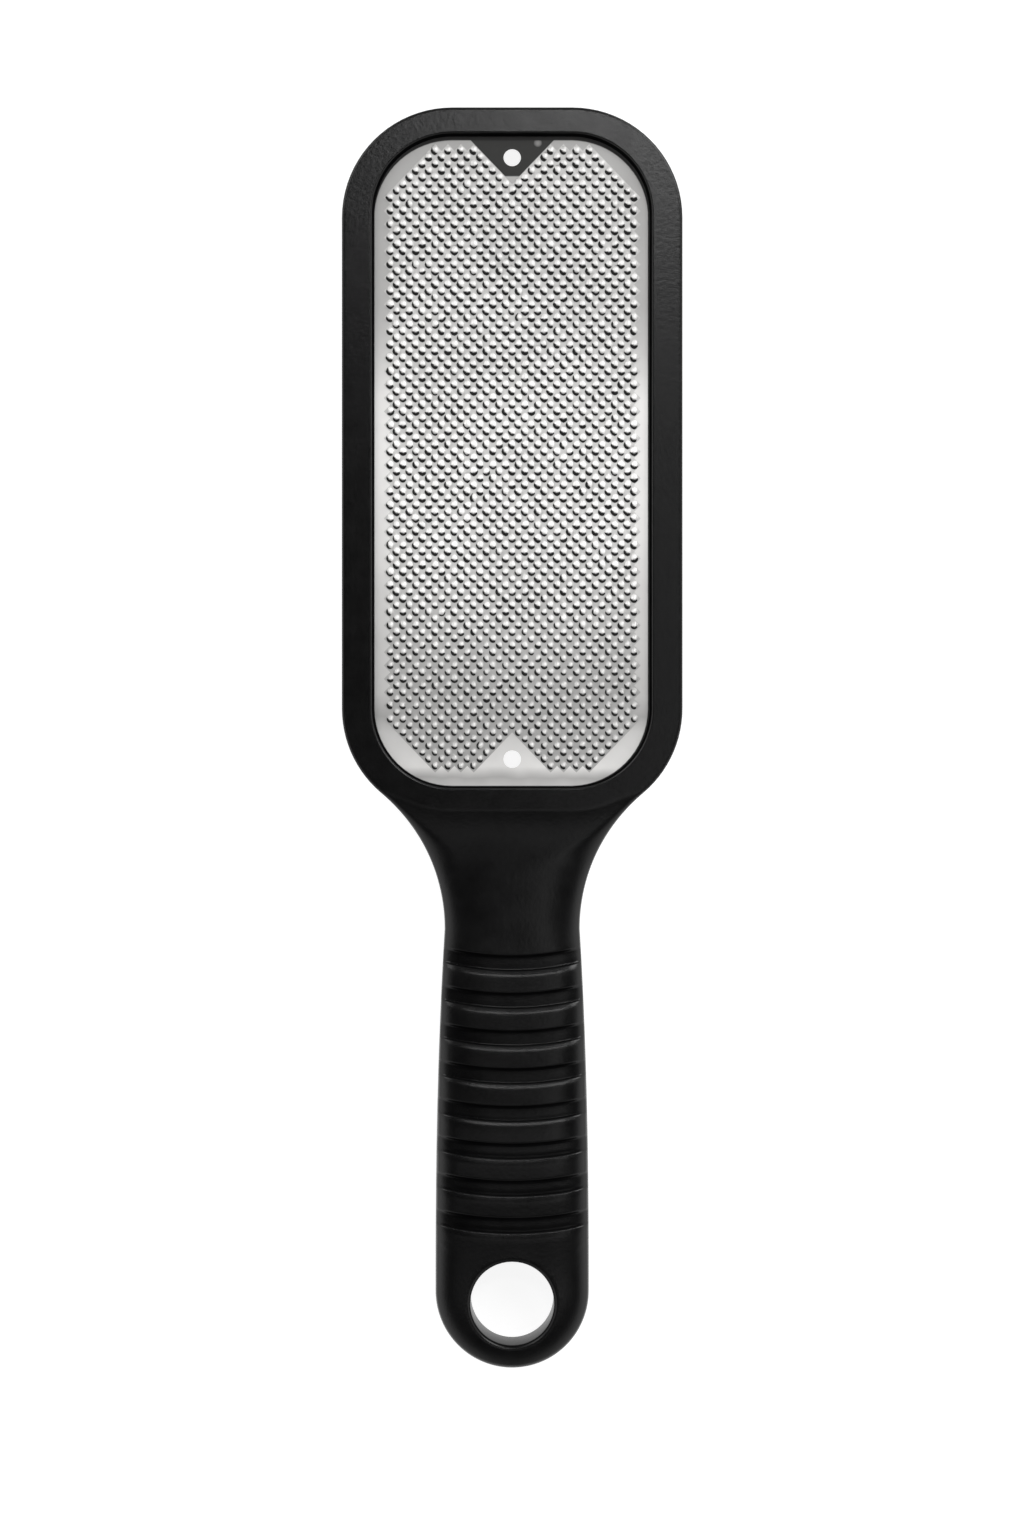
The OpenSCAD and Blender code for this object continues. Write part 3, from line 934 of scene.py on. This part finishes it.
def plastic_material():
    """Satin black moulded plastic with a fine mould texture. Painted shade takes its reflection away in
    grooves, recesses, on edges and in the hanging hole.
    """
    material = bpy.data.materials.new("black_plastic")
    graph = Graph(material)
    shader = graph.nodes["Principled BSDF"].inputs
    coords = graph.coords("Object")
    mottle = graph.noise(coords, 260.0, 4.0)
    graph.put(shader["Base Color"], graph.ramp(mottle, PLASTIC_TONES))
    graph.put(shader["Roughness"], graph.map_range(mottle, 0.0, 1.0, 0.21, 0.27))
    grain = graph.bump(graph.noise(coords, 1300.0), 0.22, 0.0001)
    graph.put(shader["Normal"], graph.bump(graph.noise(coords, 90.0, 1.0), 0.04, 0.0004, grain))
    graph.put(shader["IOR"], 1.36)
    # Painted shade: the reflection fades to none where painted_shade is 1
    graph.put(shader["Specular IOR Level"], graph.map_range(graph.attribute("painted_shade"), 0.0, 1.0, 0.5, 0.0))
    return material


def steel_material():
    """Bright satin sheet steel: soft bands of painted reflection and shade, faint stains, painted highlights
    on the teeth, a painted dark reflection in the upper notch, and painted shadow on the teeth and beside the
    window's wall.
    """
    material = bpy.data.materials.new("plate_steel")
    graph = Graph(material)
    shader = graph.nodes["Principled BSDF"].inputs
    graph.put(shader["Metallic"], 0.55)
    coords = graph.coords("Object")
    x, y, z = graph.split(coords)
    stain = graph.noise(coords, 70.0, 5.0)
    # Painted reflection and shade, in bands along the window that wander a little
    wander = graph.map_range(graph.noise(coords, 110.0), 0.0, 1.0, -WANDER, WANDER)
    low_y = (WINDOW_Y - WINDOW_L / 2 + LIP_W) * MM
    high_y = (WINDOW_Y + WINDOW_L / 2 - LIP_W) * MM
    along = graph.map_range(graph.math("ADD", y, wander), low_y, high_y)
    bare = graph.attribute("bare")
    painted_light = graph.mix(bare, graph.ramp(along, FIELD_PAINTED_LIGHT), graph.ramp(along, BARE_PAINTED_LIGHT))
    steel = graph.mix(1.0, graph.ramp(stain, STAIN_TONES), painted_light, "MULTIPLY")

    # Painted shade makes the sheet greyer between the teeth than on them, and toward the handle only their
    # tips get the painted highlight
    wide_tip, small_tip = [graph.map_range(z, (SHEET_TOP + low) * MM, (SHEET_TOP + high) * MM, dim, bright)
                           for low, high, dim, bright in (WIDE_TIP, SMALL_TIP)]
    tip_highlight = graph.mix(graph.map_range(along, *TIP_CHANGE), small_tip, wide_tip)
    tip_highlight = graph.mix(bare, tip_highlight, (1.0, 1.0, 1.0, 1.0))
    steel = graph.mix(1.0, steel, tip_highlight, "MULTIPLY")

    # The bare notch at the upper end is painted dark, a painted reflection of something dark, with a painted
    # glint in it
    across = graph.math("ABSOLUTE", x)
    slant = graph.math("MULTIPLY_ADD", across, ROW_PITCH / HALF_PITCH, NOTCH_LOW_Y * MM)
    above_slant = graph.map_range(graph.math("SUBTRACT", y, slant), 0.0, PATCH_SOFT_SLANT * MM)
    above_end = graph.map_range(y, PATCH_LOW_Y * MM, (PATCH_LOW_Y + PATCH_SOFT_END) * MM)
    in_width = graph.map_range(across, PATCH_HALF_W[0] * MM, PATCH_HALF_W[1] * MM, 1.0, 0.0)
    patch = graph.math("MULTIPLY", graph.math("MULTIPLY", above_slant, above_end), in_width)
    glint_x = graph.math("SUBTRACT", x, GLINT[0] * MM)
    glint_y = graph.math("SUBTRACT", y, GLINT[1] * MM)
    from_glint = graph.math("MULTIPLY_ADD", glint_y, glint_y, graph.math("MULTIPLY", glint_x, glint_x))
    glint = graph.map_range(from_glint, 0.0, GLINT_SPREAD * MM ** 2, GLINT_STRENGTH, 0.0)
    steel = graph.mix(graph.math("SUBTRACT", patch, glint), steel, NOTCH_REFLECTION_COLOUR)

    # Painted shadow: the teeth's lower left sides and the sheet beside the window's wall turn near black
    shadow_share = graph.map_range(graph.attribute("painted_shadow"), 0.08, 0.36, smooth=True)
    graph.put(shader["Base Color"], graph.mix(shadow_share, steel, PAINTED_SHADOW_COLOUR))
    graph.put(shader["Roughness"], graph.map_range(stain, 0.0, 1.0, 0.46, 0.56))
    graph.put(shader["Normal"], graph.bump(graph.noise(coords, 900.0), 0.08, 0.0001))
    return material


body = build_body()
smooth_by_angle(body, PLASTIC_CRISP_DEGREES)
body.data.materials.append(plastic_material())
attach(body, "root")
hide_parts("body")

sheet = build_sheet()
smooth_by_angle(sheet, STEEL_CRISP_DEGREES)
sheet.data.materials.append(steel_material())
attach(sheet, "root")
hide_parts("rasp_plate")

# Floor: half its size and how far it lies below the part, in metres, and how bright it is
FLOOR_HALF = 3.0
FLOOR_BELOW = 0.0002
FLOOR_GREY = 0.3
GLOW_TO_CAMERA = 0.88
GLOW_IN_MIRROR = 0.85
# Sky: brightness by height (0 at the horizon, 1 overhead), and its strength at the ends and sides
SKY_STOPS = ((0.0, 1.0), (0.93, 0.02), (0.50, 0.95), (0.68, 0.74), (0.80, 0.34), (0.88, 0.08))
SKY_ENDS = 0.3
SKY_SIDES = 1.8
# Lamps, all aimed at the origin: name, place, size and radiance
PANELS = (
    ("head_panel", (0.071, 0.380, 0.968), (0.232, 0.076), 14.8),
    ("side_strip", (0.124, 0.0, 1.144), (0.069, 0.68), 2.0),
    ("low_panel", (0.05, -0.30, 1.10), (0.70, 0.13), 0.55),
    ("right_softbox", (0.64, 0.77, 0.84), (0.65, 0.65), 7.0),
    ("left_softbox", (-0.70, 0.72, 0.84), (0.60, 0.60), 3.0),
)


def build_floor():
    """White floor: it glows white to the camera and to reflections, and takes a soft shadow."""
    mesh = bpy.data.meshes.new("floor")
    corners = [(sx * FLOOR_HALF, sy * FLOOR_HALF, 0) for sx, sy in ((-1, -1), (1, -1), (1, 1), (-1, 1))]
    mesh.from_pydata(corners, [], [[0, 1, 2, 3]])
    floor = add_object("floor", mesh)
    floor.location.z = -FLOOR_BELOW
    material = bpy.data.materials.new("floor_white")
    graph = Graph(material)
    graph.nodes.clear()
    path = graph.nodes.new("ShaderNodeLightPath").outputs
    mirrored = graph.math("MAXIMUM", path["Is Glossy Ray"], path["Is Transmission Ray"])
    in_mirror = graph.math("MULTIPLY", mirrored, GLOW_IN_MIRROR)
    brightness = graph.math("MULTIPLY_ADD", path["Is Camera Ray"], GLOW_TO_CAMERA, in_mirror)
    glow = graph.nodes.new("ShaderNodeEmission")
    graph.put(glow.inputs["Strength"], brightness)
    matte = graph.nodes.new("ShaderNodeBsdfDiffuse")
    graph.put(matte.inputs["Color"], (FLOOR_GREY, FLOOR_GREY, FLOOR_GREY, 1))
    both = graph.nodes.new("ShaderNodeAddShader")
    graph.put(both.inputs[0], matte.outputs[0])
    graph.put(both.inputs[1], glow.outputs[0])
    out = graph.nodes.new("ShaderNodeOutputMaterial")
    graph.put(out.inputs["Surface"], both.outputs[0])
    mesh.materials.append(material)


def build_world():
    """Studio surroundings: white round the horizon, dim overhead, and white to the camera."""
    world = bpy.data.worlds.new("studio")
    bpy.context.scene.world = world
    graph = Graph(world)
    graph.nodes.clear()
    x, _, z = graph.split(graph.coords("Generated"))
    strength = graph.map_range(graph.math("ABSOLUTE", x), 0.0, 1.0, SKY_ENDS, SKY_SIDES)
    sky = graph.nodes.new("ShaderNodeBackground")
    graph.put(sky.inputs["Color"], graph.ramp(z, SKY_STOPS))
    graph.put(sky.inputs["Strength"], strength)
    white = graph.nodes.new("ShaderNodeBackground")
    graph.put(white.inputs["Color"], (1, 1, 1, 1))
    either = graph.nodes.new("ShaderNodeMixShader")
    graph.put(either.inputs[0], graph.nodes.new("ShaderNodeLightPath").outputs["Is Camera Ray"])
    graph.put(either.inputs[1], sky.outputs[0])
    graph.put(either.inputs[2], white.outputs[0])
    out = graph.nodes.new("ShaderNodeOutputWorld")
    graph.put(out.inputs["Surface"], either.outputs[0])


def add_panel(name, place, size, radiance):
    """A soft rectangular light, aimed at the origin."""
    light = bpy.data.lights.new(name, "AREA")
    light.shape = "RECTANGLE"
    light.size, light.size_y = size
    light.energy = radiance * math.pi * size[0] * size[1]
    lamp = add_object(name, light)
    back = Vector(place).normalized()
    across = Vector((0, 1, 0)).cross(back).normalized()
    turn = Matrix((across, back.cross(across), back)).transposed()
    lamp.matrix_world = Matrix.Translation(place) @ turn.to_4x4()


build_floor()
build_world()
for panel in PANELS:
    add_panel(*panel)

# Camera: straight above the rasp, on the photograph's optical axis, framing it as tall as it is there
CAMERA_HEIGHT = 0.560
VIEW_CENTRE = (-0.00004, -0.00613)
VIEW_HEIGHT = 0.3162
SENSOR = 36.0
camera_data = bpy.data.cameras.new("camera")
camera_data.sensor_fit = "VERTICAL"
camera_data.sensor_height = SENSOR
camera_data.lens = SENSOR * (CAMERA_HEIGHT - FRAME_H * MM) / VIEW_HEIGHT
camera = add_object("camera", camera_data)
camera.location = (*VIEW_CENTRE, CAMERA_HEIGHT)
bpy.context.scene.camera = camera
bpy.context.scene.view_settings.view_transform = "Standard"
